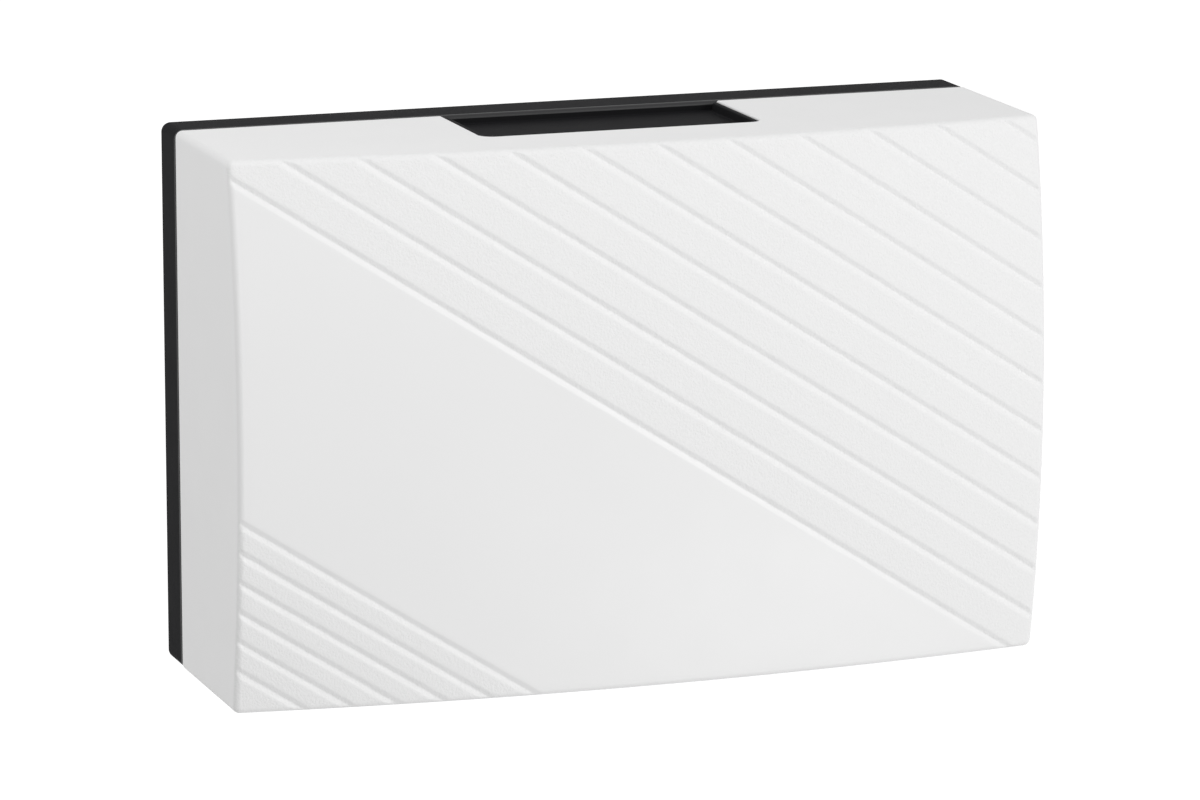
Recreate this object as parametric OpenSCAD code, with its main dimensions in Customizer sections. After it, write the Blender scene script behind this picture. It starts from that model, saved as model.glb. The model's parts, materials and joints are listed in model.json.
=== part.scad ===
// Two-note doorbell chime for a wall.
// A flat black base screws to the wall, and a white cover with a bowed front pushes on over its lip.
// Inside, a solenoid drives a plunger between two tone bars, fed by four dry cells.
// The wall face lies in the plane Y = 0, the front faces -Y and +Z is up. Millimetres.

/* [Case] */
// Width of the case
case_w = 180; // [176:1:200]
// Height of the case
case_h = 117; // [116:1:130]
// Depth of the base's rim, from the wall to the cover's rear edge
rim_d = 11.4; // [10:0.2:14]
// Depth of the cover's sides at its corners
cover_d = 40; // [38:0.5:55]
// Bow of the cover's front across its width
crown_w = 6.6; // [4:0.2:9]
// Bow of the cover's front up its height
crown_h = 5.9; // [4:0.2:8]
// Radius of the base's corners
base_corner_r = 2; // [1.6:0.1:4]
// Radius of the cover's corners
cover_corner_r = 1.5; // [1.2:0.1:3]
// Radius of the cover's inside corners and of the lip's corners
inner_corner_r = 1; // [0.6:0.1:2]

/* [Walls] */
// Thickness of the base's back plate
plate_t = 2.5; // [2:0.1:4]
// Thickness of the cover's walls
cover_t = 2; // [1.6:0.1:2.6]
// Thickness of the base's lip
lip_t = 1.8; // [1.4:0.1:2.2]
// How far the lip reaches into the cover
lip_d = 4; // [3:0.5:6]
// Clearance between the lip and the cover
fit_gap = 0.2; // [0.1:0.05:0.4]

/* [Notches] */
// Width of the notch in the cover's top and bottom walls
notch_w = 62.6; // [40:0.2:66]
// Depth of the notch, from the cover's rear edge
notch_d = 29; // [20:0.5:32]
// Radius of the notch's two inner corners
notch_r = 3; // [2:0.5:6]
// How far the base's tongue reaches past the top notch's sides
tongue_side = 3; // [1:0.5:6]
// How far the base's tongue reaches past the top notch's front
tongue_over = 2; // [1:0.5:4]
// Thickness of the base's lining inside the top notch
lining_t = 1.2; // [0.8:0.1:1.4]

/* [Grooves] */
// Slope of the grooves, down to the right
groove_angle = 33; // [25:1:45]
// Width of a groove
groove_w = 1.8; // [0.8:0.1:2.4]
// Depth of a groove
groove_depth = 0.5; // [0.3:0.1:0.8]
// Distance of the upper group's first groove below the middle of the front
upper_first = 3; // [0:0.5:10]
// Pitch of the upper group
upper_pitch = 8.7; // [6:0.1:10]
// Number of grooves in the upper group
upper_count = 12; // [1:1:12]
// Distance of the lower group's first groove below the middle of the front
lower_first = 62.8; // [40:0.5:66]
// Pitch of the lower group
lower_pitch = 5.4; // [4:0.1:6]
// Number of grooves in the lower group
lower_count = 6; // [1:1:6]

/* [Wall fixing] */
// Diameter of the two wall screw holes
wall_hole_d = 4.5; // [3.5:0.1:6]
// Distance between the wall screw holes
wall_hole_span = 66; // [60:1:72]
// Height of the wall screw holes above the middle of the case
wall_hole_h = 36; // [32:1:42]
// Width of the boss round a wall screw hole
wall_boss_ring = 3; // [2:0.5:4]
// Height of that boss
wall_boss_h = 1.5; // [0.5:0.1:3]
// Diameter of the hole where the bell wires come in
entry_d = 12; // [8:0.5:14]
// Distance of the wire hole to the side of the middle
entry_x = 33; // [31:1:36]
// Distance of the wire hole below the middle
entry_drop = 33; // [32:1:42]
// Width of the collar round the wire hole
entry_ring = 1.5; // [1:0.1:2]
// Height of that collar
entry_collar_h = 2; // [1:0.1:4]

/* [Solenoid] */
// Length of the coil between the yoke's ends
coil_l = 40; // [34:0.5:46]
// Diameter of the bobbin's flanges
flange_d = 32; // [28:0.5:34]
// Thickness of the bobbin's flanges
flange_t = 1.5; // [1:0.1:2]
// Wall of the bobbin's tube
tube_t = 1.6; // [1:0.1:2.4]
// Diameter of the copper winding
winding_d = 27; // [22:0.5:27]
// Thickness of the tape over the winding
tape_t = 0.6; // [0.3:0.1:0.6]
// Thickness of the yoke's sheet
yoke_t = 2; // [1.5:0.1:3]
// Width of the yoke
yoke_w = 26; // [20:0.5:27]
// Inner radius of the yoke's bends
yoke_bend_r = 1.5; // [0.5:0.1:2]
// Height of the pads under the yoke
pad_h = 1.5; // [1:0.1:3]
// Width of the pads under the yoke
pad_w = 6; // [4:0.5:8]

/* [Plunger] */
// Diameter of the plunger's core
plunger_d = 8; // [6:0.5:9]
// Clearance between the core and the bobbin's bore
run_gap = 0.2; // [0.1:0.05:0.4]
// Clearance between the core and the holes in the yoke
yoke_hole_gap = 0.5; // [0.3:0.1:1]
// Stroke from rest to the left tone bar
travel = 12; // [10:0.5:13]
// Stroke from rest to the right tone bar
rebound = 2; // [1:0.5:3]
// Gap that is left between a striker and its bar at the end of a stroke
stop_gap = 0.2; // [0.1:0.05:0.4]
// Diameter of the strikers
striker_d = 6; // [5:0.5:7]
// Diameter of the strikers' round striking ends
ball_d = 7.6; // [7.2:0.2:8]
// Length of the right striker outside the core
striker_l = 15; // [13:0.5:17]
// Diameter of the strikers' stems in the core
stem_d = 3; // [2:0.5:4]
// Length of the strikers' stems
stem_l = 8; // [5:0.5:12]
// Diameter of the right striker's spring collar
collar_d = 13; // [12:0.5:16]
// Thickness of the spring collar
collar_t = 1.5; // [1:0.1:2.5]
// Length of the right striker past its collar
nose_l = 3.8; // [3:0.1:5]

/* [Return spring] */
// Wire of the return spring
spring_wire = 0.7; // [0.5:0.1:0.8]
// Curls of the return spring
spring_curls = 9; // [6:1:10]
// Clearance between the return spring and the core
spring_clear = 0.6; // [0.4:0.1:1]

/* [Tone bars] */
// Gap between the right, lower bar's ends and the lip
bar_gap = 4.5; // [3:0.5:8]
// How much shorter the left, higher bar is
bar_short = 8; // [4:0.5:12]
// Width of the bars
bar_w = 24; // [18:0.5:28]
// Thickness of the bars
bar_t = 3; // [2:0.1:4]
// Diameter of the hanger pins
pin_d = 3; // [2.5:0.1:4]
// Diameter of the pins' heads
pin_head_d = 7; // [6:0.5:9]
// Thickness of the pins' heads
pin_head_t = 1.6; // [1:0.1:2]
// Gap between the pins' heads and the cell tray
head_gap = 0.6; // [0.4:0.1:2]
// Wall of the grommets round the pin
grommet_wall = 1.8; // [1.2:0.1:2.5]
// How far the grommets' flanges reach over the bar
grommet_lap = 1.8; // [1:0.1:2.5]
// Thickness of the grommets' flanges
grommet_flange_t = 1.2; // [0.8:0.1:2]
// Thickness of the hanger posts
post_t = 6; // [4:0.5:7]
// Width of the hanger posts
post_w = 9; // [7:0.5:10]

/* [Cells] */
// Diameter of a dry cell
cell_d = 26.2; // [25:0.1:26.4]
// Gap between the ends of a cell column and the lip
column_gap = 1.75; // [1.25:0.05:2.5]
// Diameter of the cell's cap
cap_d = 7; // [5.5:0.5:9]
// Height of the cell's cap
cap_h = 1.5; // [1:0.1:2.5]
// Clearance round a cell
cell_gap = 0.3; // [0.2:0.05:0.5]
// Thickness of the tray's walls
tray_t = 1.4; // [1:0.1:2]
// Height of the tray's inner side wall above the back plate
tray_h = 18; // [12:0.5:22]
// How far the tray's inner side wall stops short of the cells' ends
tray_short = 6; // [5.5:0.5:12]
// Thickness of the cell contacts
contact_t = 0.5; // [0.4:0.1:0.6]
// Width of the cell contacts
contact_w = 20; // [19:0.5:23]
// Width of the contacts' solder tabs
tab_w = 4; // [3:0.5:5]
// How far the solder tabs reach past the tray
tab_out = 3; // [2:0.5:4]
// Length of the contact springs, pressed by the cells
contact_spring_l = 4.5; // [4:0.1:4.8]
// Wire of the contact springs
contact_wire = 0.8; // [0.6:0.1:0.8]
// Curls of the contact springs
contact_curls = 3; // [2:1:3]
// Diameter of a contact spring's wide end
contact_wide_d = 17; // [14:0.5:18]
// Diameter of a contact spring's narrow end
contact_narrow_d = 8; // [7:0.5:9]

/* [Terminals] */
// Number of terminals
terminal_count = 3; // [2:1:3]
// Pitch of the terminals
terminal_pitch = 11; // [10:0.5:12]
// Width of a terminal's well
well_w = 8.6; // [8:0.1:9]
// Depth of a terminal's well
well_d = 4; // [3:0.1:5]
// Width of the block beside the outer wells
block_side = 8; // [7:0.5:10]
// Height of the block up the wall
block_h = 12; // [10:0.5:12]
// Depth of the block out from the back plate
block_d = 10; // [8:0.5:12]
// Gap between the block and the lip below it
block_gap = 5.5; // [4.5:0.5:6.5]
// Floor that is left under a terminal's screw hole
hole_floor = 1; // [0.6:0.1:1.5]
// Length of a clamp plate
clamp_l = 8; // [7:0.5:9]
// Thickness of a clamp plate
clamp_t = 1; // [0.8:0.1:1.4]

/* [Screws and leads] */
// Diameter of the screws' shanks
screw_d = 3; // [2.5:0.1:3.5]
// Diameter of the screws' heads
screw_head_d = 6; // [5.5:0.1:7]
// Height of the screws' heads
screw_head_h = 2.2; // [1.6:0.1:2.6]
// Width of the screwdriver slots
slot_w = 0.9; // [0.6:0.1:1.2]
// Depth of the screwdriver slots
slot_h = 0.9; // [0.6:0.1:1.2]
// Thickness of the back plate that is left under the screws
screw_skin = 0.6; // [0.4:0.1:1]
// Gap between the bobbin's flanges and the yoke's screws
screw_clear = 1.5; // [1:0.1:3]
// Edge that is left round a screw hole in the yoke's ears
ear_edge = 2.5; // [1.5:0.1:3]
// Clearance between fixed pieces
slip = 0.1; // [0.05:0.05:0.15]
// Diameter of the leads
lead_d = 1.6; // [1.2:0.1:1.8]
// Gap between a lead's end and its clamp plate
lead_gap = 0.3; // [0.1:0.1:1]

/* [Hidden] */
$fn = 96;

// Sides of the case and of the solenoid
left = -1;
right = 1;
lower = -1;
upper = 1;

// Overlap of a cutting shape past the face it cuts
cut = 1;

// The case's inside: half width and half height within the lip
in_w = case_w / 2 - cover_t - fit_gap - lip_t;
in_h = case_h / 2 - cover_t - fit_gap - lip_t;
lip_end = rim_d + lip_d;

// The bowed front: its deepest point and its two radii
function bow_radius(half, bow) = (half * half + bow * bow) / (2 * bow);
front_d = rim_d + cover_d + crown_w + crown_h;
bow_r_w = bow_radius(case_w / 2, crown_w);
bow_r_h = bow_radius(case_h / 2, crown_h);
bow_sweep = 3 * asin(case_w / (2 * (bow_r_w - front_d)));
bow_fn = 256;

// Cells lie against the lip's inside, in two upright columns, and each is half of what its spring leaves
cell_x = in_w - cell_gap - cell_d / 2;
cell_z = plate_t + cell_gap + cell_d / 2;
column_l = 2 * (in_h - column_gap);
cell_l = (column_l - contact_spring_l - 2 * contact_t) / 2;
tray_x = cell_x - cell_d / 2 - cell_gap - tray_t;
tray_end_z = cell_z + contact_w / 2;
tab_z = plate_t + tab_w;

// Tone bars hang just inside the trays
grommet_l = bar_t + 2 * slip + 2 * grommet_flange_t;
bar_x = tray_x - head_gap - pin_head_t - slip - grommet_l / 2;
bar_face = bar_x - bar_t / 2;
post_x = bar_x - grommet_l / 2 - slip - post_t;
grommet_d = pin_d + 2 * slip + 2 * grommet_wall;
bar_hole_d = grommet_d + 2 * slip;
// A free bar does not move at this share of its length from each end when it rings
still_share = 0.224;
function hang_y(bar_l) = bar_l * (0.5 - still_share);
function bar_length(side) = 2 * (in_h - bar_gap) - (side == left ? bar_short : 0);

// Solenoid
yoke_z = plate_t + pad_h;
axis_z = yoke_z + yoke_t + yoke_bend_r + slip + flange_d / 2;
yoke_x = coil_l / 2 + yoke_t;
ear_y = flange_d / 2 + screw_clear + screw_head_d / 2;
ear_half = ear_y + screw_d / 2 + slip + ear_edge;
ear_w = screw_d + 2 * slip + 2 * ear_edge;
bore_d = plunger_d + 2 * run_gap;
tube_d = bore_d + 2 * tube_t;
winding_half = coil_l / 2 - slip - flange_t - slip;

// The core rests one stroke to the right of the coil's middle, so the coil pulls it to the middle
tip_left = -(bar_face - travel - stop_gap);
tip_right = bar_face - rebound - stop_gap;
core_right = tip_right - striker_l;
core_left = 2 * travel - core_right;
collar_x = tip_right - nose_l - collar_t;
spring_r = plunger_d / 2 + spring_clear + spring_wire / 2;

// Terminal block
block_y = block_gap + block_h / 2 - in_h;
block_low = block_y - block_h / 2;
block_high = block_y + block_h / 2;
block_w = (terminal_count - 1) * terminal_pitch + well_w + 2 * block_side;
well_z = plate_t + block_d - well_d;
block_screw_x = block_w / 2 - block_side / 2;
function terminal_x(i) = (i - (terminal_count - 1) / 2) * terminal_pitch;

// Springs and leads: rings a curl, sides of the wires and steps between a route's points
curl_rings = 8;
wire_sides = 6;
lead_sides = 8;
lead_steps = 3;

// Routes of the leads, from the cells' tabs and the coil's tape to the terminals
tab_y = column_l / 2 - contact_t - slip - lead_d / 2;
floor_z = plate_t + slip + lead_d / 2;
well_lead_z = well_z + slip + lead_d / 2;
tape_y = -winding_d / 2 - slip - tape_t - slip - lead_d / 2;
function coil_route(side) = let (
    start_x = side * (winding_half - 2 * lead_d),
    end_x = terminal_x(terminal_count - (side == left ? 2 : 1))
) [
    [start_x, tape_y, axis_z], [start_x, tape_y - 4, axis_z - 4],
    [(start_x + end_x) / 2, tape_y - 12, well_lead_z + 4],
    [end_x, block_high + 3, well_lead_z], [end_x, block_high + 0.6, well_lead_z],
    [end_x, block_y + clamp_l / 2 + lead_gap, well_lead_z]
];
battery_route = [
    [-tray_x, -tab_y, tab_z], [10 - tray_x, -tab_y, floor_z + 1.5], [28 - tray_x, -tab_y, floor_z],
    [terminal_x(0) - 6, block_low - 2.6, floor_z + 2], [terminal_x(0) - 0.6, block_low - 2, well_lead_z],
    [terminal_x(0), block_y - clamp_l / 2 - lead_gap, well_lead_z]
];
series_half = [[-tray_x, tab_y, tab_z], [11 - tray_x, tab_y, floor_z + 1], [24 - tray_x, tab_y - 1, floor_z]];
// Direction that no lead follows
lead_away = [0.3, 0.2, 1];
function mirrored(route) = [for (p = route) [-p.x, p.y, p.z]];
function backwards(route) = [for (i = [1 : len(route)]) route[len(route) - i]];
series_route = concat(series_half, backwards(mirrored(series_half)));

// Helix about the third axis from radius r0 to r1
function helix(r0, r1, length, curls) = [
    for (i = [0 : curls * curl_rings])
        let (share = i / (curls * curl_rings), turn = 360 * i / curl_rings, r = r0 + (r1 - r0) * share)
            [r * cos(turn), r * sin(turn), length * share]
];
spring_path = helix(spring_r, spring_r, collar_x - yoke_x - 2 * slip - spring_wire, spring_curls);
contact_path = helix(
    contact_wide_d / 2, contact_narrow_d / 2, contact_spring_l - 2 * slip - contact_wire, contact_curls
);

// Least gap of a wound wire to itself, measured on its points more than half a curl apart
function least_gap(path, wire) = min([
    for (i = [0 : len(path) - 1])
        for (j = [i + curl_rings / 2 + 1 : len(path) - 1])
            norm(path[i] - path[j]) - wire
]);
echo(return_spring_least_gap = least_gap(spring_path, spring_wire));
echo(contact_spring_least_gap = least_gap(contact_path, contact_wire));

// Smooth curve through a route's points
function between(a, b, c, d, t) = 0.5 * (
    2 * b + (c - a) * t + (2 * a - 5 * b + 4 * c - d) * t * t + (3 * b - a - 3 * c + d) * t * t * t
);
function smooth(route) = [
    for (i = [0 : len(route) - 2], s = [0 : lead_steps - 1])
        let (before = route[max(i - 1, 0)], after = route[min(i + 2, len(route) - 1)])
            between(before, route[i], route[i + 1], after, s / lead_steps),
    route[len(route) - 1]
];

function unit(v) = v / norm(v);
function heading(path, i) = unit(path[min(i + 1, len(path) - 1)] - path[max(i - 1, 0)]);

// Round wire along a path, whose rings are set out from a direction that the path never follows
module wire(path, d, sides, away) {
    last = len(path) - 1;
    rings = [
        for (i = [0 : last])
            let (t = heading(path, i), u = unit(cross(away, t)), v = cross(t, u))
                for (k = [0 : sides - 1])
                    path[i] + d / 2 * (cos(360 * k / sides) * u + sin(360 * k / sides) * v)
    ];
    walls = [
        for (i = [0 : last - 1], k = [0 : sides - 1])
            let (a = i * sides + k, b = i * sides + (k + 1) % sides)
                each [[a, a + sides, b + sides], [a, b + sides, b]]
    ];
    caps = [
        for (k = [1 : sides - 2])
            each [[0, k, k + 1], [last * sides, last * sides + k + 1, last * sides + k]]
    ];
    polyhedron(points = rings, faces = concat(walls, caps));
}

// Pieces are drawn as seen from the room: x across, y up and z out from the wall
module on_wall() {
    rotate([90, 0, 0]) children();
}

// Block between two corners
module block(low, high) {
    translate(low) cube(high - low);
}

// Rod across the case between two places
module rod(x0, x1, d) {
    translate([x0, 0, 0]) rotate([0, 90, 0]) cylinder(h = x1 - x0, d = d);
}

// Rectangle with round corners
module round_rectangle(w, h, r) {
    square([w - 2 * r, h], center = true);
    square([w, h - 2 * r], center = true);
    for (x = [-1, 1], y = [-1, 1])
        translate([x * (w / 2 - r), y * (h / 2 - r)]) circle(r);
}

// Everything behind the bowed front, or behind a surface that lies inside it
module behind_front(inside) {
    translate([0, 0, front_d - bow_r_w])
        rotate([-90, 0, 0])
            rotate([0, 0, -90 - bow_sweep / 2])
                rotate_extrude(angle = bow_sweep, $fn = bow_fn)
                    intersection() {
                        translate([bow_r_w - bow_r_h, 0]) circle(bow_r_h - inside, $fn = bow_fn);
                        translate([bow_r_w - front_d - cut, -case_h])
                            square([front_d + 2 * cut, 2 * case_h]);
                    }
}

// Slanting slots, cut down to the groove's floor, which follows the bowed front
module grooves() {
    reach = case_w + case_h;
    difference() {
        rotate([0, 0, -groove_angle]) {
            for (i = [0 : upper_count - 1])
                translate([-reach / 2, i * upper_pitch - upper_first - groove_w / 2, rim_d])
                    cube([reach, groove_w, front_d]);
            for (i = [0 : lower_count - 1])
                translate([-reach / 2, -lower_first - i * lower_pitch - groove_w / 2, rim_d])
                    cube([reach, groove_w, front_d]);
        }
        behind_front(groove_depth);
    }
}

// Outline of a notch, or of one inside it, that reaches some way behind the cover's rear edge
module notch_outline(inside, behind) {
    half = notch_w / 2 - inside;
    front = notch_d - inside;
    r = notch_r - inside;
    translate([-half, -behind]) square([2 * half, front + behind - r]);
    translate([r - half, -behind]) square([2 * (half - r), front + behind]);
    for (x = [-1, 1])
        translate([x * (half - r), front - r]) circle(r);
}

// Notch through the top and bottom walls
module notches() {
    rotate([90, 0, 0]) translate([0, rim_d, -case_h]) linear_extrude(2 * case_h) notch_outline(0, cut);
}

// Lining that stands on the base's tongue and covers the walls of the top notch, a little short of the rim
module notch_lining() {
    low = in_h + lip_t / 2;
    high = case_h / 2 - fit_gap;
    rotate([90, 0, 0])
        translate([0, rim_d, -high])
            linear_extrude(high - low)
                difference() {
                    notch_outline(fit_gap, -lining_t);
                    notch_outline(fit_gap + lining_t, cut);
                }
}

module front_cover() {
    color("whitesmoke") on_wall() difference() {
        intersection() {
            translate([0, 0, rim_d]) linear_extrude(front_d) round_rectangle(case_w, case_h, cover_corner_r);
            behind_front(0);
        }
        intersection() {
            translate([0, 0, rim_d - cut])
                linear_extrude(front_d)
                    round_rectangle(case_w - 2 * cover_t, case_h - 2 * cover_t, inner_corner_r);
            behind_front(cover_t);
        }
        notches();
        grooves();
    }
}

// Four posts that carry the tone bars
module hanger_posts() {
    for (side = [left, right], rank = [lower, upper])
        translate([side * (post_x + post_t / 2), rank * hang_y(bar_length(side)), 0])
            block([-post_t / 2, -post_w / 2, 0], [post_t / 2, post_w / 2, axis_z + post_w / 2]);
}

// Walls that keep the cells and their contacts in place
module cell_trays() {
    for (side = [left, right]) {
        translate([side * (tray_x + tray_t / 2), 0, 0])
            block(
                [-tray_t / 2, tray_short - column_l / 2, 0],
                [tray_t / 2, column_l / 2 - tray_short, plate_t + tray_h]
            );
        for (rank = [lower, upper])
            scale([1, rank, 1])
                translate([side * cell_x, 0, 0])
                    block(
                        [-contact_w / 2, column_l / 2 + slip, 0],
                        [contact_w / 2, in_h + lip_t, tray_end_z]
                    );
    }
}

// Holes for the screws that bite into the base
module screw_pilots() {
    for (rank = [lower, upper])
        translate([0, rank * ear_y, screw_skin]) cylinder(h = front_d, d = screw_d + 2 * slip);
    for (side = [left, right])
        translate([side * block_screw_x, block_y, screw_skin])
            cylinder(h = front_d, d = screw_d + 2 * slip);
}

module rear_base() {
    color("#1c1c1e") on_wall() difference() {
        union() {
            difference() {
                union() {
                    linear_extrude(rim_d) round_rectangle(case_w, case_h, base_corner_r);
                    linear_extrude(lip_end)
                        round_rectangle(2 * (in_w + lip_t), 2 * (in_h + lip_t), inner_corner_r);
                }
                block([-in_w, -in_h, plate_t], [in_w, in_h, front_d]);
            }
            // Tongue that closes the cover's top notch from below
            block(
                [-notch_w / 2 - tongue_side, in_h, plate_t],
                [notch_w / 2 + tongue_side, in_h + lip_t, rim_d + notch_d + tongue_over]
            );
            notch_lining();
            hanger_posts();
            cell_trays();
            // Pads under the yoke
            for (side = [left, right])
                translate([side * (yoke_x - pad_w / 2), 0, 0])
                    block([-pad_w / 2, -yoke_w / 2, 0], [pad_w / 2, yoke_w / 2, yoke_z]);
            for (rank = [lower, upper])
                translate([0, rank * ear_y, 0]) cylinder(h = yoke_z, d = ear_w);
            // Bosses round the wall screw holes and the wire hole
            for (side = [left, right])
                translate([side * wall_hole_span / 2, wall_hole_h, 0])
                    cylinder(h = plate_t + wall_boss_h, d = wall_hole_d + 2 * wall_boss_ring);
            translate([-entry_x, -entry_drop, 0])
                cylinder(h = plate_t + entry_collar_h, d = entry_d + 2 * entry_ring);
        }
        for (side = [left, right])
            translate([side * wall_hole_span / 2, wall_hole_h, -cut]) cylinder(h = front_d, d = wall_hole_d);
        translate([-entry_x, -entry_drop, -cut]) cylinder(h = front_d, d = entry_d);
        // Bores of the hanger posts
        for (side = [left, right], rank = [lower, upper])
            translate([0, rank * hang_y(bar_length(side)), axis_z])
                scale([side, 1, 1])
                    rod(post_x - cut, post_x + post_t + cut, pin_d + 2 * slip);
        screw_pilots();
    }
}

// Slotted screw whose head seats at a depth and whose shank goes towards the wall
module screw(seat_z, shank_l) {
    translate([0, 0, seat_z]) difference() {
        union() {
            cylinder(h = screw_head_h, d = screw_head_d);
            translate([0, 0, -shank_l]) cylinder(h = shank_l + screw_head_h / 2, d = screw_d);
        }
        block(
            [-screw_head_d, -slot_w / 2, screw_head_h - slot_h],
            [screw_head_d, slot_w / 2, screw_head_h + cut]
        );
    }
}

module solenoid_yoke() {
    yoke_front = axis_z + flange_d / 2;
    yoke_leg = yoke_front - yoke_z;
    color("silver") on_wall() difference() {
        union() {
            rotate([90, 0, 0])
                translate([0, 0, -yoke_w / 2])
                    linear_extrude(yoke_w)
                        intersection() {
                            difference() {
                                translate([0, yoke_front])
                                    round_rectangle(2 * yoke_x, 2 * yoke_leg, yoke_bend_r + yoke_t);
                                translate([0, yoke_front])
                                    round_rectangle(coil_l, 2 * (yoke_leg - yoke_t), yoke_bend_r);
                            }
                            translate([-yoke_x - cut, yoke_z - cut])
                                square([2 * (yoke_x + cut), yoke_leg + cut]);
                        }
            block([-ear_w / 2, -ear_half, yoke_z], [ear_w / 2, ear_half, yoke_z + yoke_t]);
        }
        translate([0, 0, axis_z]) rod(-yoke_x - cut, yoke_x + cut, plunger_d + 2 * yoke_hole_gap);
        for (rank = [lower, upper])
            translate([0, rank * ear_y, yoke_z - cut])
                cylinder(h = yoke_t + 2 * cut, d = screw_d + 2 * slip);
    }
}

module yoke_screws() {
    color("gainsboro") on_wall()
        for (rank = [lower, upper])
            translate([0, rank * ear_y, 0]) screw(yoke_z + yoke_t, yoke_z + yoke_t - screw_skin - slip);
}

module coil_bobbin() {
    end = coil_l / 2 - slip;
    color("ivory") on_wall() translate([0, 0, axis_z]) difference() {
        union() {
            rod(-end, end, tube_d);
            rod(-end, flange_t - end, flange_d);
            rod(end - flange_t, end, flange_d);
        }
        rod(-end - cut, end + cut, bore_d);
    }
}

// Sleeve round the bobbin's tube
module sleeve(inner_d, outer_d) {
    translate([0, 0, axis_z]) difference() {
        rod(-winding_half, winding_half, outer_d);
        rod(-winding_half - cut, winding_half + cut, inner_d);
    }
}

module coil_winding() {
    color("peru") on_wall() sleeve(tube_d + 2 * slip, winding_d);
}

module coil_tape() {
    color("goldenrod") on_wall() sleeve(winding_d + 2 * slip, winding_d + 2 * slip + 2 * tape_t);
}

module plunger_core() {
    color("darkgray") on_wall() translate([0, 0, axis_z]) difference() {
        rod(core_left, core_right, plunger_d);
        rod(core_left - cut, core_left + stem_l + slip, stem_d + 2 * slip);
        rod(core_right - stem_l - slip, core_right + cut, stem_d + 2 * slip);
    }
}

// Striker from the core's end to its striking end, with a ball at the tip and a stem in the core
module striker(x0, x1) {
    rod(x0, x1 - ball_d / 2, striker_d);
    translate([x1 - ball_d / 2, 0, 0]) sphere(d = ball_d);
    rod(x0 - stem_l, x0 + cut, stem_d);
}

module striker_left() {
    color("linen") on_wall() translate([0, 0, axis_z]) mirror([1, 0, 0]) striker(-core_left, -tip_left);
}

module striker_right() {
    color("linen") on_wall() translate([0, 0, axis_z]) {
        striker(core_right, tip_right);
        rod(collar_x, collar_x + collar_t, collar_d);
    }
}

module return_spring() {
    color("lightsteelblue") on_wall()
        translate([yoke_x + slip + spring_wire / 2, 0, axis_z])
            rotate([0, 90, 0])
                wire(spring_path, spring_wire, wire_sides, [0, 0, 1]);
}

module tone_bar(side) {
    bar_l = bar_length(side);
    color("lightgray") on_wall() translate([side * bar_x, 0, axis_z]) difference() {
        block([-bar_t / 2, -bar_l / 2, -bar_w / 2], [bar_t / 2, bar_l / 2, bar_w / 2]);
        for (rank = [lower, upper])
            translate([0, rank * hang_y(bar_l), 0]) rod(-bar_t, bar_t, bar_hole_d);
    }
}

// Rubber hanger: a neck through the bar and a flange on each side of it
module grommet(side, rank) {
    flange_od = grommet_d + 2 * grommet_lap;
    color("dimgray") on_wall()
        translate([side * bar_x, rank * hang_y(bar_length(side)), axis_z]) difference() {
            union() {
                rod(-grommet_l / 2, grommet_l / 2, grommet_d);
                rod(-grommet_l / 2, grommet_flange_t - grommet_l / 2, flange_od);
                rod(grommet_l / 2 - grommet_flange_t, grommet_l / 2, flange_od);
            }
            rod(-grommet_l, grommet_l, pin_d + 2 * slip);
        }
}

module hanger_pins() {
    head_x = bar_x + grommet_l / 2 + slip;
    color("gainsboro") on_wall()
        for (side = [left, right], rank = [lower, upper])
            translate([0, rank * hang_y(bar_length(side)), axis_z])
                scale([side, 1, 1]) {
                    rod(post_x, head_x + pin_head_t / 2, pin_d);
                    rod(head_x, head_x + pin_head_t, pin_head_d);
                }
}

// A column of two cells runs up from its spring on the left and down from its spring on the right
module column(side) {
    translate([side * cell_x, 0, cell_z]) scale([1, -side, 1]) translate([0, -column_l / 2, 0]) children();
}

// Cylinder that runs up the column
module upright(y0, y1, d) {
    translate([0, y0, 0]) rotate([-90, 0, 0]) cylinder(h = y1 - y0, d = d);
}

// Cell by its place in the column, counted from the spring
module dry_cell(side, place) {
    foot = contact_t + contact_spring_l + place * cell_l;
    color("darkslategray") on_wall() column(side) {
        upright(foot, foot + cell_l - cap_h, cell_d);
        upright(foot + cell_l - cap_h - cut, foot + cell_l, cap_d);
    }
}

// Contact plate at the bottom or top of a column, with a tab for its lead
module cell_contact(side, rank) {
    tab_x = tray_x - tab_out;
    color("silver") on_wall() scale([side, rank, 1]) {
        block(
            [cell_x - contact_w / 2, column_l / 2 - contact_t, tab_z - tab_w / 2],
            [cell_x + contact_w / 2, column_l / 2, cell_z + contact_w / 2]
        );
        block(
            [tab_x, column_l / 2 - contact_t, tab_z - tab_w / 2],
            [cell_x, column_l / 2, tab_z + tab_w / 2]
        );
    }
}

module contact_spring(side) {
    color("silver") on_wall() column(side)
        translate([0, contact_t + slip + contact_wire / 2, 0])
            rotate([-90, 0, 0])
                wire(contact_path, contact_wire, wire_sides, [0, 0, 1]);
}

module terminal_block() {
    color("#2c2c2e") on_wall() translate([0, block_y, 0]) difference() {
        block([-block_w / 2, -block_h / 2, plate_t], [block_w / 2, block_h / 2, plate_t + block_d]);
        for (i = [0 : terminal_count - 1])
            translate([terminal_x(i), 0, 0]) {
                block([-well_w / 2, -block_h, well_z], [well_w / 2, block_h, front_d]);
                translate([0, 0, plate_t + hole_floor]) cylinder(h = block_d, d = screw_d + 2 * slip);
            }
        for (side = [left, right])
            translate([side * block_screw_x, 0, 0]) {
                translate([0, 0, -cut]) cylinder(h = front_d, d = screw_d + 2 * slip);
                translate([0, 0, well_z]) cylinder(h = block_d, d = screw_head_d + 4 * slip);
            }
    }
}

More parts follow.
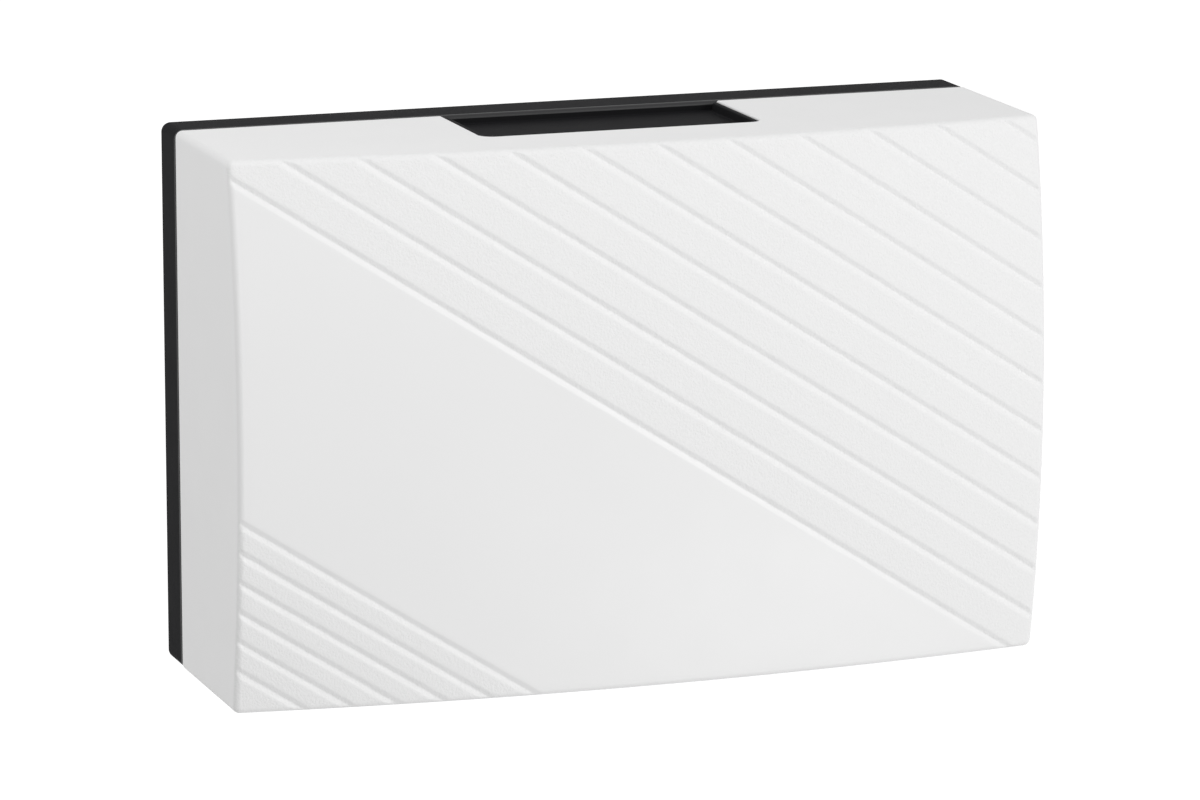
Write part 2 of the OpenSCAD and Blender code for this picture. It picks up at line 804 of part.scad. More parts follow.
module terminal_clamps() {
    color("gold") on_wall()
        for (i = [0 : terminal_count - 1])
            translate([terminal_x(i), block_y, well_z]) difference() {
                block([slip - well_w / 2, -clamp_l / 2, 0], [well_w / 2 - slip, clamp_l / 2, clamp_t]);
                translate([0, 0, -cut]) cylinder(h = clamp_t + 2 * cut, d = screw_d + 2 * slip);
            }
}

module terminal_screws() {
    color("gold") on_wall()
        for (i = [0 : terminal_count - 1])
            translate([terminal_x(i), block_y, 0])
                screw(well_z + clamp_t, well_z + clamp_t - plate_t - hole_floor - slip);
}

module block_screws() {
    color("gainsboro") on_wall()
        for (side = [left, right])
            translate([side * block_screw_x, block_y, 0]) screw(well_z, well_z - screw_skin - slip);
}

module lead(route, hue) {
    color(hue) on_wall() wire(smooth(route), lead_d, lead_sides, lead_away);
}

front_cover();
rear_base();
solenoid_yoke();
coil_bobbin();
coil_winding();
coil_tape();
yoke_screws();
plunger_core();
striker_left();
striker_right();
return_spring();
tone_bar(left);  // tone_bar_left
tone_bar(right);  // tone_bar_right
grommet(left, upper);  // grommet_left_upper
grommet(left, lower);  // grommet_left_lower
grommet(right, upper);  // grommet_right_upper
grommet(right, lower);  // grommet_right_lower
hanger_pins();
dry_cell(left, 0);  // cell_left_lower
dry_cell(left, 1);  // cell_left_upper
dry_cell(right, 1);  // cell_right_lower
dry_cell(right, 0);  // cell_right_upper
cell_contact(left, lower);  // contact_left_lower
cell_contact(left, upper);  // contact_left_upper
cell_contact(right, lower);  // contact_right_lower
cell_contact(right, upper);  // contact_right_upper
contact_spring(left);  // contact_spring_left
contact_spring(right);  // contact_spring_right
terminal_block();
terminal_clamps();
terminal_screws();
block_screws();
lead(coil_route(left), "firebrick");  // coil_lead_left
lead(coil_route(right), "firebrick");  // coil_lead_right
lead(battery_route, "#202022");  // battery_lead_left
lead(mirrored(battery_route), "firebrick");  // battery_lead_right
lead(series_route, "#202022");  // series_lead
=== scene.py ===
"""Dresses a two-note door chime: models each piece, gives it its finish and sets the stage."""

import json
import math

import bpy
import numpy as np
from bpy.props import FloatProperty, FloatVectorProperty, IntProperty, PointerProperty
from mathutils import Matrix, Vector

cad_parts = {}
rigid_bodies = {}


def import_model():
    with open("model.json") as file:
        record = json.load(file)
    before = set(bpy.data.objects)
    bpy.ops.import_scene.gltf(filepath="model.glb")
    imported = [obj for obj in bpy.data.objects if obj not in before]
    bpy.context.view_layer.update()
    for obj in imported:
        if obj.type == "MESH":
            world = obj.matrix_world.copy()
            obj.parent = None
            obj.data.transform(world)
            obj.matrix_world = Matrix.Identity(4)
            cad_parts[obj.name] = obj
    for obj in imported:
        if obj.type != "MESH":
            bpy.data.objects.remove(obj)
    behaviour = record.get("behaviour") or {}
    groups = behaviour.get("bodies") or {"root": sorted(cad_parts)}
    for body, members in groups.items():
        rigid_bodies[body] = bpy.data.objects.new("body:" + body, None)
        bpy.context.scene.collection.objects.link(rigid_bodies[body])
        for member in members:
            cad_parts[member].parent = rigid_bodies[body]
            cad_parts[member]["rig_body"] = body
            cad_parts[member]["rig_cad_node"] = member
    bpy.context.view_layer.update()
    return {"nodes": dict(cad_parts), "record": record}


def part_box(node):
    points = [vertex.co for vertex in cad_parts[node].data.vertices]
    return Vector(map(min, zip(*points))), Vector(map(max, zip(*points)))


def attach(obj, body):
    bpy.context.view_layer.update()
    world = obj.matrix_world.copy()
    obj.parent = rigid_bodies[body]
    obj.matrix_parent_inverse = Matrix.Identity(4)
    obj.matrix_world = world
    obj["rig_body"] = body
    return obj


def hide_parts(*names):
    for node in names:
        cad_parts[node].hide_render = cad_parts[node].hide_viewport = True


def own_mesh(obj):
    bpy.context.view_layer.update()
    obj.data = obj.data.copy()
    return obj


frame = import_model()

bl_info = {
    "name": "Door chime",
    "version": (1, 0, 0),
    "blender": (4, 5, 0),
    "location": "3D View > Sidebar > Chime",
    "description": "Models a two-note door chime round its packed solids",
    "category": "Object",
}

MM = 0.001
# Points nearer than this are one
JOIN = 1e-7
# A side shorter than this has no length
SLIVER = 1e-9
# Points this near to a plane lie on it
LEVEL = 0.001 * MM
# Share of a normal along a direction that its face looks in
FACING = 0.9
RECORD = frame["record"]
SLOTS = {part["node"]: part["material_slot"] for part in RECORD["subparts"]}
BODIES = {node: body for body, nodes in RECORD["behaviour"]["bodies"].items() for node in nodes}
COVER_LOW, COVER_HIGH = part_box("front_cover")
SIDES = ("left", "right")
RANKS = ("lower", "upper")


# Properties that a user would change

def length(name, description, millimetres):
    """A size in millimetres, kept in metres."""
    return FloatProperty(
        name=name, description=description, default=millimetres * MM, unit="LENGTH", precision=5
    )


def angle(name, description, degrees):
    """An angle in degrees, kept in radians."""
    return FloatProperty(name=name, description=description, default=math.radians(degrees), subtype="ANGLE")


def share(name, description, value):
    """A plain factor."""
    return FloatProperty(name=name, description=description, default=value, subtype="FACTOR", min=0, max=1)


def count(name, description, number):
    """A number of repeats."""
    return IntProperty(name=name, description=description, default=number, min=1)


def power(name, description, watts):
    """The power of a lamp."""
    return FloatProperty(name=name, description=description, default=watts, unit="POWER")


def colour(name, description, *rgb):
    """A colour as the surface scatters it."""
    return FloatVectorProperty(
        name=name, description=description, default=rgb, subtype="COLOR", size=3, min=0, max=1
    )


class ChimeCover(bpy.types.PropertyGroup):
    """Sizes of the white cover."""

    wall: length("Wall", "Thickness of the cover's walls", 2)
    corner: length("Corner radius", "Radius of the cover's four long corners", 1.5)
    inner_corner: length("Inner corner radius", "Radius of the cover's inside corners", 1)
    edge: length("Front edge radius", "Radius of the edge round the front", 1.3)
    rim_edge: length("Rim edge radius", "Radius of the edges of the rim and of the notches", 0.35)
    bow_across: length("Bow across", "Bow of the front across its width", 6.6)
    bow_up: length("Bow up", "Bow of the front up its height", 5.9)
    mesh_step: length("Mesh step", "Distance between the lines that carry the bow", 3)
    notch_width: length("Notch width", "Width of the notches in the top and bottom walls", 62.6)
    notch_depth: length("Notch depth", "Depth of the notches from the rear edge", 29)
    notch_corner: length("Notch radius", "Radius of the notches' inner corners", 3)
    groove_slope: angle("Groove slope", "Slope of the grooves, down to the right", 33)
    groove_width: length("Groove width", "Width of a groove at half its depth", 1.8)
    groove_depth: length("Groove depth", "Depth of a groove", 0.5)
    upper_first: length("Upper group", "Place of the upper group's first groove", -3)
    upper_pitch: length("Upper pitch", "Pitch of the upper group", 8.7)
    upper_count: count("Upper grooves", "Grooves in the upper group", 12)
    lower_first: length("Lower group", "Place of the lower group's first groove", -62.8)
    lower_pitch: length("Lower pitch", "Pitch of the lower group", 5.4)
    lower_count: count("Lower grooves", "Grooves in the lower group", 6)


class ChimeInside(bpy.types.PropertyGroup):
    """Sizes of the edges and wires of the base and of the pieces on it."""

    lip_inset: length("Lip inset", "Distance from the case's outside to the inside of the base's lip", 4)
    outline_edge: length("Outline edge", "Radius of the base's outer edge beside the cover", 0.9)
    moulded_edge: length("Moulded edge", "Radius of the edges of mouldings", 0.35)
    sheet_edge: length("Sheet edge", "Radius of the edges of pressed sheet", 0.2)
    thin_edge: length("Thin edge", "Radius of the edges of thin sheet and small screws", 0.12)
    bar_edge: length("Bar edge", "Radius of the edges of the tone bars", 0.4)
    rubber_edge: length("Rubber edge", "Radius of the edges of the grommets", 0.4)
    return_wire: length("Return spring wire", "Thickness of the return spring's wire", 0.7)
    return_curls: count("Return spring curls", "Curls of the return spring", 9)
    contact_wire: length("Contact spring wire", "Thickness of the contact springs' wire", 0.8)
    contact_curls: count("Contact spring curls", "Curls of a contact spring", 3)
    contact_narrow: length("Contact spring tip", "Diameter of a contact spring's narrow end", 8)
    tape_advance: length("Tape advance", "Advance of the tape in one wrap round the coil", 6)
    tape_width: length("Tape width", "Width of the tape", 7.2)
    tape_thickness: length("Tape thickness", "Thickness of the tape where two wraps lap", 0.6)
    tape_margin: length("Tape margin", "Copper that shows beside the tape", 1.6)
    copper_wire: length("Copper wire", "Pitch of the coil's turns", 0.45)
    winding_bore: length("Winding bore", "Inner diameter of the winding", 11.8)
    cap_width: length("Cap width", "Diameter of a cell's cap", 7)
    cap_height: length("Cap height", "Height of a cell's cap", 1.5)
    lead_swell: length("Lead swell", "Growth that brings a smoothed lead back to its thickness", 0.08)


class ChimeColours(bpy.types.PropertyGroup):
    """Colours of the finishes."""

    white: colour("Cover white", "Smooth part of the cover", 0.843, 0.843, 0.843)
    grained_white: colour("Grained white", "Grooved parts of the cover", 0.852, 0.852, 0.852)
    black: colour("Base black", "Moulding of the base", 0.012, 0.012, 0.013)
    zinc: colour("Zinc", "Plated steel of the yoke and screws", 0.62, 0.61, 0.58)
    nylon: colour("Nylon", "Bobbin", 0.74, 0.70, 0.58)
    striker: colour("Striker nylon", "Strikers", 0.80, 0.78, 0.71)
    copper: colour("Copper", "Enamelled wire of the coil", 0.72, 0.33, 0.15)
    tape: colour("Tape", "Tape round the coil", 0.72, 0.50, 0.07)
    ground_steel: colour("Ground steel", "Plunger core", 0.46, 0.46, 0.47)
    spring_steel: colour("Spring steel", "Springs", 0.52, 0.53, 0.55)
    nickel: colour("Nickel", "Tone bars and cell contacts", 0.70, 0.69, 0.66)
    rubber: colour("Rubber", "Grommets", 0.022, 0.021, 0.020)
    jacket: colour("Cell jacket", "Main colour of the cells", 0.030, 0.075, 0.115)
    jacket_band: colour("Cell band", "Band round the cells", 0.48, 0.49, 0.50)
    seal: colour("Cell seal", "Ring in the cells' tops", 0.03, 0.03, 0.03)
    phenolic: colour("Terminal block", "Moulding of the terminal block", 0.028, 0.022, 0.019)
    brass: colour("Brass", "Terminal clamps and screws", 0.70, 0.50, 0.20)
    black_lead: colour("Black lead", "Insulation of the black leads", 0.016, 0.016, 0.017)
    red_lead: colour("Red lead", "Insulation of the red leads", 0.42, 0.022, 0.016)
    floor: colour("Floor", "Floor of the stage", 0.90, 0.90, 0.90)


class ChimeStage(bpy.types.PropertyGroup):
    """Camera, lamps and floor."""

    focal_length: FloatProperty(
        name="Focal length", description="Lens of the camera", default=192.4, unit="CAMERA"
    )
    azimuth: angle("Azimuth", "How far the camera stands to the right of the front", -19.15)
    elevation: angle("Elevation", "How far the camera stands above the front", 11.89)
    distance: length("Distance", "Distance from the camera to the point it looks at", 1373)
    aim: FloatVectorProperty(
        name="Aim", description="Point that the camera looks at", default=(-0.0018, -0.030, -0.0018),
        subtype="TRANSLATION", unit="LENGTH", size=3,
    )
    floor_drop: length("Floor drop", "Height of the chime's middle above the floor", 1500)
    floor_size: length("Floor size", "Side of the floor", 60000)
    floor_lift: share("Floor lift", "Light that whitens the floor for the camera and in reflections", 0.6)
    sky: share("Sky", "Light that comes evenly from all sides", 0.555)
    key_power: power("Key lamp", "Power of the lamp at the right", 12.8)
    low_power: power("Low lamp", "Power of the lamp at the lower right", 3.5)
    top_power: power("Top lamp", "Power of the lamp at the upper left", 1.25)


# Handling of objects and meshes

def only(obj):
    """Selects one object alone, in object mode."""
    if bpy.context.mode != "OBJECT":
        bpy.ops.object.mode_set(mode="OBJECT")
    bpy.ops.object.select_all(action="DESELECT")
    obj.select_set(True)
    bpy.context.view_layer.objects.active = obj


def settle(obj):
    """Puts an object's place, turn and scale into its mesh."""
    only(obj)
    bpy.ops.object.transform_apply(location=True, rotation=True, scale=True)


def pick(obj, kind, test):
    """Enters edit mode with the vertices, edges or faces that pass a test selected."""
    only(obj)
    bpy.ops.object.mode_set(mode="EDIT")
    bpy.ops.mesh.select_mode(type=kind)
    bpy.ops.mesh.select_all(action="DESELECT")
    bpy.ops.object.mode_set(mode="OBJECT")
    parts = {"VERT": obj.data.vertices, "EDGE": obj.data.edges, "FACE": obj.data.polygons}[kind]
    for part in parts:
        part.select = test(part)
    bpy.ops.object.mode_set(mode="EDIT")


def pick_all(obj):
    """Enters edit mode with the whole mesh selected."""
    only(obj)
    bpy.ops.object.mode_set(mode="EDIT")
    bpy.ops.mesh.select_all(action="SELECT")


def leave(obj):
    """Leaves edit mode with the object selected."""
    bpy.ops.object.mode_set(mode="OBJECT")
    only(obj)


def edge_ends(mesh, edge):
    """Places of an edge's two ends."""
    return [mesh.vertices[i].co for i in edge.vertices]


def edge_normals(mesh):
    """The normals of the faces at each edge, by the edge's key."""
    normals = {}
    for face in mesh.polygons:
        for key in face.edge_keys:
            normals.setdefault(key, []).append(face.normal.copy())
    return normals


def bevel_edges(obj, test, radius, segments, **options):
    """Rounds the edges that pass a test."""
    pick(obj, "EDGE", test)
    bpy.ops.mesh.bevel(offset=radius, segments=segments, affect="EDGES", clamp_overlap=False, **options)
    leave(obj)


def apply_modifier(obj, kind, **settings):
    """Adds a modifier and applies it."""
    only(obj)
    modifier = obj.modifiers.new(kind.title(), kind)
    for name, value in settings.items():
        setattr(modifier, name, value)
    bpy.ops.object.modifier_apply(modifier=modifier.name)


def round_edges(obj, radius, segments=2, least_angle=40):
    """Rounds all edges that are sharper than an angle."""
    apply_modifier(
        obj, "BEVEL", width=radius, segments=segments, limit_method="ANGLE",
        angle_limit=math.radians(least_angle), use_clamp_overlap=False,
    )


def cut(obj, tool):
    """Cuts a tool's solid out of an object and removes the tool."""
    apply_modifier(obj, "BOOLEAN", operation="DIFFERENCE", solver="EXACT", object=tool)
    bpy.data.objects.remove(tool)


def add_block(low, high):
    """Adds a block between two corners."""
    low, high = Vector(low), Vector(high)
    bpy.ops.mesh.primitive_cube_add(size=1, location=(low + high) / 2, scale=high - low)
    block = bpy.context.active_object
    settle(block)
    return block


def bisect(place, normal, **options):
    """Cuts the mesh along a plane."""
    bpy.ops.mesh.select_all(action="SELECT")
    bpy.ops.mesh.bisect(plane_co=place, plane_no=normal, threshold=JOIN, **options)


def cad_copy(node, flat=0.2):
    """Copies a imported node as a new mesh, and merges triangles that lie within an angle to whole faces."""
    only(frame["nodes"][node])
    bpy.ops.object.duplicate(linked=False)
    piece = bpy.context.active_object
    bpy.ops.object.parent_clear(type="CLEAR_KEEP_TRANSFORM")
    piece.data.materials.clear()
    del piece["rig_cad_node"]
    del piece["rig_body"]
    bpy.ops.mesh.customdata_custom_splitnormals_clear()
    pick_all(piece)
    bpy.ops.mesh.remove_doubles(threshold=JOIN)
    bpy.ops.mesh.dissolve_limited(angle_limit=math.radians(flat))
    leave(piece)
    clear_slivers(piece)
    return piece


def clear_slivers(piece):
    """Dissolves faces that have no area."""
    pick_all(piece)
    bpy.ops.mesh.dissolve_degenerate(threshold=SLIVER)
    leave(piece)


def coat(piece, *finishes):
    """Gives a piece its finishes, in the order that its faces number them."""
    for finish in finishes:
        piece.data.materials.append(finish)


def finish_piece(piece, name, node, smooth=35):
    """Smooths a piece and lets it stand for its node, on the node's body."""
    settle(piece)
    piece.name = name
    piece.data.name = name
    bpy.ops.object.shade_smooth_by_angle(angle=math.radians(smooth))
    apply_modifier(piece, "WEIGHTED_NORMAL", keep_sharp=True)
    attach(piece, BODIES[node])
    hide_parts(node)


def dress_node(node, name, finish, edge, segments=2):
    """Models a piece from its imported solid: the same form with its edges rounded."""
    piece = cad_copy(node)
    coat(piece, finish)
    round_edges(piece, edge, segments)
    finish_piece(piece, name, node)


def add_section(section):
    """Adds a closed outline of radius and height beside the upright axis."""
    bpy.ops.object.select_all(action="DESELECT")
    bpy.ops.mesh.primitive_circle_add(vertices=len(section), radius=1)
    outline = bpy.context.active_object
    for vertex, (radius, height) in zip(outline.data.vertices, section):
        vertex.co = (radius, 0, height)
    return outline


def add_turned(section, sides=64):
    """Adds a piece turned round the upright axis from a closed section of radius and height."""
    piece = add_section(section)
    pick_all(piece)
    bpy.ops.mesh.spin(steps=sides, angle=math.tau, center=(0, 0, 0), axis=(0, 0, 1))
    bpy.ops.mesh.select_all(action="SELECT")
    bpy.ops.mesh.remove_doubles(threshold=JOIN)
    bpy.ops.mesh.delete_loose()
    bpy.ops.mesh.select_all(action="SELECT")
    bpy.ops.mesh.normals_make_consistent(inside=False)
    leave(piece)
    return piece


def lay_across(piece, node):
    """Turns a turned piece to lie across the case, in the middle of its node."""
    low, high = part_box(node)
    piece.rotation_euler = (0, math.pi / 2, 0)
    piece.location = (low + high) / 2
    settle(piece)


def add_wire(points, thickness):
    """Adds a round wire along a row of points."""
    bpy.ops.object.select_all(action="DESELECT")
    bpy.ops.curve.primitive_nurbs_path_add(location=(0, 0, 0))
    wire = bpy.context.active_object
    wire.data.splines.clear()
    path = wire.data.splines.new("POLY")
    path.points.add(len(points) - 1)
    for point, place in zip(path.points, points):
        point.co = (*place, 1)
    wire.data.bevel_depth = thickness / 2
    wire.data.bevel_resolution = 3
    wire.data.use_fill_caps = True
    only(wire)
    bpy.ops.object.convert(target="MESH")
    pick_all(wire)
    bpy.ops.mesh.remove_doubles(threshold=JOIN)
    bpy.ops.mesh.normals_make_consistent(inside=False)
    leave(wire)
    return wire


def spring_points(radius_from, radius_to, reach, curls, dead_curls, dead_pitch):
    """Points of a spring about the upright axis, whose end curls lie close together."""
    curl_sides = 32
    steps = curl_sides * curls
    turns = np.linspace(0, curls, steps + 1)
    dead_rise = dead_curls * dead_pitch
    heights = np.interp(
        turns, [0, dead_curls, curls - dead_curls, curls], [0, dead_rise, reach - dead_rise, reach]
    )
    radii = np.linspace(radius_from, radius_to, steps + 1)
    angles = turns * math.tau
    return np.column_stack([radii * np.cos(angles), radii * np.sin(angles), heights])


# Finishes

class Finish:
    """A material in the making: one shader, and the textures that feed it."""

    def __init__(self, name, base, roughness, **sockets):
        self.material = bpy.data.materials.new(name)
        self.material.use_nodes = True
        self.nodes = self.material.node_tree.nodes
        self.links = self.material.node_tree.links
        self.shader = self.nodes["Principled BSDF"]
        self.base = tuple(base)
        self.shader.inputs["Base Color"].default_value = (*base, 1)
        self.shader.inputs["Roughness"].default_value = roughness
        for socket, value in sockets.items():
            self.shader.inputs[socket.replace("_", " ")].default_value = value
        self.place = self.nodes.new("ShaderNodeTexCoord").outputs["Object"]

    def feed(self, socket, value):
        """Sets a socket to a value, or links it to another node's output."""
        if isinstance(value, bpy.types.NodeSocket):
            self.links.new(value, socket)
        else:
            socket.default_value = value

    def add(self, kind, **inputs):
        """Adds a node and feeds its inputs by name."""
        node = self.nodes.new(kind)
        for name, value in inputs.items():
            self.feed(node.inputs[name.replace("_", " ")], value)
        return node

    def combine(self, operation, first, second=0.0):
        """Works out one value from two."""
        node = self.nodes.new("ShaderNodeMath")
        node.operation = operation
        self.feed(node.inputs[0], first)
        self.feed(node.inputs[1], second)
        return node.outputs[0]

    def axes(self):
        """The place on the piece as three values."""
        return self.add("ShaderNodeSeparateXYZ", Vector=self.place).outputs

    def noise(self, size, detail=2.0, stretch=(1, 1, 1)):
        """Noise whose features have a size in metres, drawn out along an axis."""
        scale = [1 / (size * s) for s in stretch]
        mapping = self.add("ShaderNodeMapping", Vector=self.place, Scale=scale)
        noise = self.add("ShaderNodeTexNoise", Vector=mapping.outputs[0], Scale=1.0, Detail=detail)
        return noise.outputs["Fac"]

    def tint(self, factor, dark, light):
        """Lets the colour go from a darker to a lighter share of the base with a factor."""
        mix = self.nodes.new("ShaderNodeMix")
        mix.data_type = "RGBA"
        self.links.new(factor, mix.inputs["Factor"])
        mix.inputs[6].default_value = (*[c * dark for c in self.base], 1)
        mix.inputs[7].default_value = (*[min(c * light, 1) for c in self.base], 1)
        self.links.new(mix.outputs[2], self.shader.inputs["Base Color"])

    def gloss(self, factor, low, high):
        """Lets the roughness go between two values with a factor."""
        span = self.add("ShaderNodeMapRange", Value=factor, To_Min=low, To_Max=high)
        self.links.new(span.outputs[0], self.shader.inputs["Roughness"])

    def bump(self, height, depth):
        """Raises the surface by a height in metres, on top of what is there already."""
        node = self.add("ShaderNodeBump", Height=height, Distance=depth, Strength=1.0)
        earlier = self.shader.inputs["Normal"].links
        if earlier:
            self.links.new(earlier[0].from_socket, node.inputs["Normal"])
        self.links.new(node.outputs[0], self.shader.inputs["Normal"])


def smooth_plastic(name, base, roughness, **sockets):
    """Moulding with a faint unevenness."""
    finish = Finish(name, base, roughness, **sockets)
    finish.tint(finish.noise(30 * MM), dark=0.985, light=1.01)
    finish.gloss(finish.noise(9 * MM, detail=3), low=roughness - 0.05, high=roughness + 0.05)
    finish.bump(finish.noise(1.4 * MM), depth=0.006 * MM)
    return finish.material


def insulation(name, base):
    """Soft insulation of a lead."""
    return smooth_plastic(name, base, roughness=0.4, Specular_IOR_Level=0.4)


def grained_plastic(name, base, roughness, grain=0.5 * MM, depth=0.1 * MM, **sockets):
    """Moulding from a spark-eroded tool."""
    finish = Finish(name, base, roughness, **sockets)
    grains = finish.noise(grain, detail=1)
    finish.tint(grains, dark=0.97, light=1.02)
    finish.gloss(finish.noise(9 * MM, detail=3), low=roughness - 0.05, high=roughness + 0.05)
    finish.bump(grains, depth)
    finer = 2.6
    shallower = 3
    finish.bump(finish.noise(grain / finer, detail=0), depth / shallower)
    return finish.material


def brushed_metal(name, base, roughness, along, line=0.12 * MM, length_ratio=60):
    """Metal with fine lines along an axis."""
    finish = Finish(name, base, roughness, Metallic=1.0)
    stretch = [length_ratio if axis == along else 1 for axis in "xyz"]
    lines = finish.noise(line, detail=2, stretch=stretch)
    finish.tint(finish.noise(6 * MM, detail=3), dark=0.90, light=1.05)
    finish.gloss(lines, low=roughness - 0.08, high=roughness + 0.10)
    finish.bump(lines, depth=0.004 * MM)
    return finish.material


def plated_metal(name, base, roughness):
    """Bright plated metal with a faint cloudiness."""
    finish = Finish(name, base, roughness, Metallic=1.0)
    finish.tint(finish.noise(2.5 * MM, detail=3), dark=0.85, light=1.06)
    finish.gloss(finish.noise(0.8 * MM, detail=3), low=roughness - 0.08, high=roughness + 0.12)
    finish.bump(finish.noise(0.3 * MM), depth=0.004 * MM)
    return finish.material


def wound_copper(name, base):
    """Enamelled copper wire, darker here and there."""
    finish = Finish(name, base, roughness=0.3, Metallic=1.0)
    finish.tint(finish.noise(3 * MM, detail=3), dark=0.72, light=1.1)
    finish.gloss(finish.noise(1 * MM, detail=2), low=0.24, high=0.42)
    return finish.material


def wrapped_tape(name, base, start, advance):
    """Tape wrapped round an axis across the case, with a tone that differs at random and a painted shade
    that darkens each wrap towards where it goes under the next wrap's edge.
    """
    finish = Finish(name, base, roughness=0.34)
    x, y, z = finish.axes()
    back = finish.combine("SUBTRACT", y, start.y)
    down = finish.combine("SUBTRACT", start.z, z)
    turn = finish.combine("DIVIDE", finish.combine("ARCTAN2", back, down), math.tau)
    along = finish.combine("DIVIDE", finish.combine("SUBTRACT", x, start.x), advance)
    lap = finish.combine("FRACT", finish.combine("SUBTRACT", along, turn))
    # Painted shade: the colour grows darker across each wrap towards the edge of the next wrap that laps
    # over it, added to random tone
    painted_shade_share = 0.6
    plain_level = 0.45
    painted_lap_shade = finish.combine("MULTIPLY", lap, painted_shade_share)
    tone_and_painted_shade = finish.combine("SUBTRACT", finish.noise(4 * MM, detail=3), painted_lap_shade)
    finish.tint(finish.combine("ADD", tone_and_painted_shade, plain_level), dark=0.78, light=1.06)
    finish.gloss(finish.noise(1.5 * MM, detail=3), low=0.26, high=0.46)
    finish.bump(finish.noise(2.2 * MM, detail=2, stretch=(3, 1, 1)), depth=0.03 * MM)
    return finish.material


def printed_foil(name, base):
    """Printed jacket over a metal can."""
    finish = Finish(name, base, roughness=0.3, Metallic=0.55, Coat_Weight=0.4, Coat_Roughness=0.15)
    finish.tint(finish.noise(12 * MM, detail=3), dark=0.9, light=1.06)
    finish.gloss(finish.noise(3 * MM, detail=3), low=0.24, high=0.42)
    finish.bump(finish.noise(5 * MM, detail=2), depth=0.02 * MM)
    return finish.material


def speckled_plastic(name, base, roughness):
    """Dark filled moulding with fine specks."""
    finish = Finish(name, base, roughness)
    finish.tint(finish.noise(0.35 * MM, detail=2), dark=0.65, light=1.5)
    finish.gloss(finish.noise(4 * MM, detail=3), low=roughness - 0.07, high=roughness + 0.1)
    finish.bump(finish.noise(0.5 * MM), depth=0.008 * MM)
    return finish.material


# The cover

def front_y(sizes, x, z, inside=0.0):
    """Depth of the bowed front at a place, or of a surface inside it."""
    half_w, half_h = COVER_HIGH.x, COVER_HIGH.z
    radius_w = (half_w**2 + sizes.bow_across**2) / (2 * sizes.bow_across)
    radius_h = (half_h**2 + sizes.bow_up**2) / (2 * sizes.bow_up)
    radial = radius_w - radius_h + math.sqrt((radius_h - inside) ** 2 - z**2)
    return COVER_LOW.y + radius_w - math.sqrt(radial**2 - x**2)


def cover_solid(sizes, inside, rear, corner):
    """Adds a solid with the bowed front, or one inside it by a wall's thickness."""
    half_w = COVER_HIGH.x - inside
    half_h = COVER_HIGH.z - inside
    front = COVER_LOW.y
    solid = add_block((-half_w, front, -half_h), (half_w, rear, half_h))
    pick_all(solid)
    for half, axis in ((half_w, Vector((1, 0, 0))), (half_h, Vector((0, 0, 1)))):
        steps = 2 * round(half / sizes.mesh_step)
        for i in range(1, steps):
            bisect(axis * half * (2 * i / steps - 1), axis)
    leave(solid)
    for vertex in solid.data.vertices:
        if vertex.co.y < front + MM:
            vertex.co.y = front_y(sizes, vertex.co.x, vertex.co.z, inside)

    def long_corner(edge):
        ends = edge_ends(solid.data, edge)
        return all(abs(p.x) > half_w - MM and abs(p.z) > half_h - MM for p in ends)

    bevel_edges(solid, long_corner, corner, segments=6)
    return solid


def round_front(solid, sizes):
    """Rounds the edge between the front and the walls."""
    normals = edge_normals(solid.data)

    def front_edge(edge):
        depths = sorted(n.y for n in normals[edge.key])
        return depths[0] < -FACING and abs(depths[-1]) < 1 - FACING

    bevel_edges(solid, front_edge, sizes.edge, segments=5)


def groove_square(sizes):
    """Direction on the front that is square to the grooves."""
    return Vector((math.sin(sizes.groove_slope), 0, math.cos(sizes.groove_slope)))


def groove_places(sizes):
    """Distances of the grooves from the middle of the front, square to their run."""
    upper = [sizes.upper_first + i * sizes.upper_pitch for i in range(sizes.upper_count)]
    lower = [sizes.lower_first - i * sizes.lower_pitch for i in range(sizes.lower_count)]
    return np.array(upper + lower)


# A groove's section: shares of its width from its middle, and of its depth
GROOVE_ACROSS = np.array([-0.85, -0.68, -0.48, -0.10, 0.10, 0.48, 0.68, 0.85])
GROOVE_DOWN = np.array([0.0, 0.0, 0.14, 1.0, 1.0, 0.14, 0.0, 0.0])


def cut_grooves(solid, sizes):
    """Lays lines along the grooves' lips and floors and presses them into the front."""
    square = groove_square(sizes)
    places = groove_places(sizes)
    wall_facing = -0.03
    pick(solid, "FACE", lambda face: face.normal.y > wall_facing)
    bpy.ops.mesh.hide()
    for place in places:
        for across in GROOVE_ACROSS * sizes.groove_width:
            bisect(square * (place + across), square)
    bpy.ops.mesh.reveal(select=False)
    leave(solid)
    for vertex in solid.data.vertices:
        if vertex.co.y > COVER_LOW.y + sizes.bow_across + sizes.bow_up + sizes.edge:
            continue
        across = np.abs(places - vertex.co.dot(square)).min() / sizes.groove_width
        floor = np.interp(across, GROOVE_ACROSS, GROOVE_DOWN) * sizes.groove_depth
        vertex.co.y = max(vertex.co.y, front_y(sizes, vertex.co.x, vertex.co.z) + floor)


def notch_tool(sizes):
    """Adds the solid that cuts the notches through the top and bottom walls."""
    half = sizes.notch_width / 2
    rear = COVER_HIGH.y
    over = 10 * MM
    reach = COVER_HIGH.z + over
    tool = add_block((-half, rear - sizes.notch_depth, -reach), (half, rear + over, reach))

    def inner_corner(edge):
        ends = edge_ends(tool.data, edge)
        return all(p.y < rear for p in ends) and ends[0].x == ends[1].x

    bevel_edges(tool, inner_corner, sizes.notch_corner, segments=8)
    return tool


def round_rim(cover, sizes):
    """Breaks the sharp edges of the rim and of the notches."""
    normals = edge_normals(cover.data)
    limit = COVER_HIGH.y - sizes.notch_depth - sizes.rim_edge
    sharp_turn = math.cos(math.radians(60))

    def rim_edge(edge):
        faces = normals[edge.key]
        sharp = len(faces) == 2 and faces[0].dot(faces[1]) < sharp_turn
        return sharp and all(p.y > limit for p in edge_ends(cover.data, edge))

    bevel_edges(cover, rim_edge, sizes.rim_edge, segments=2)


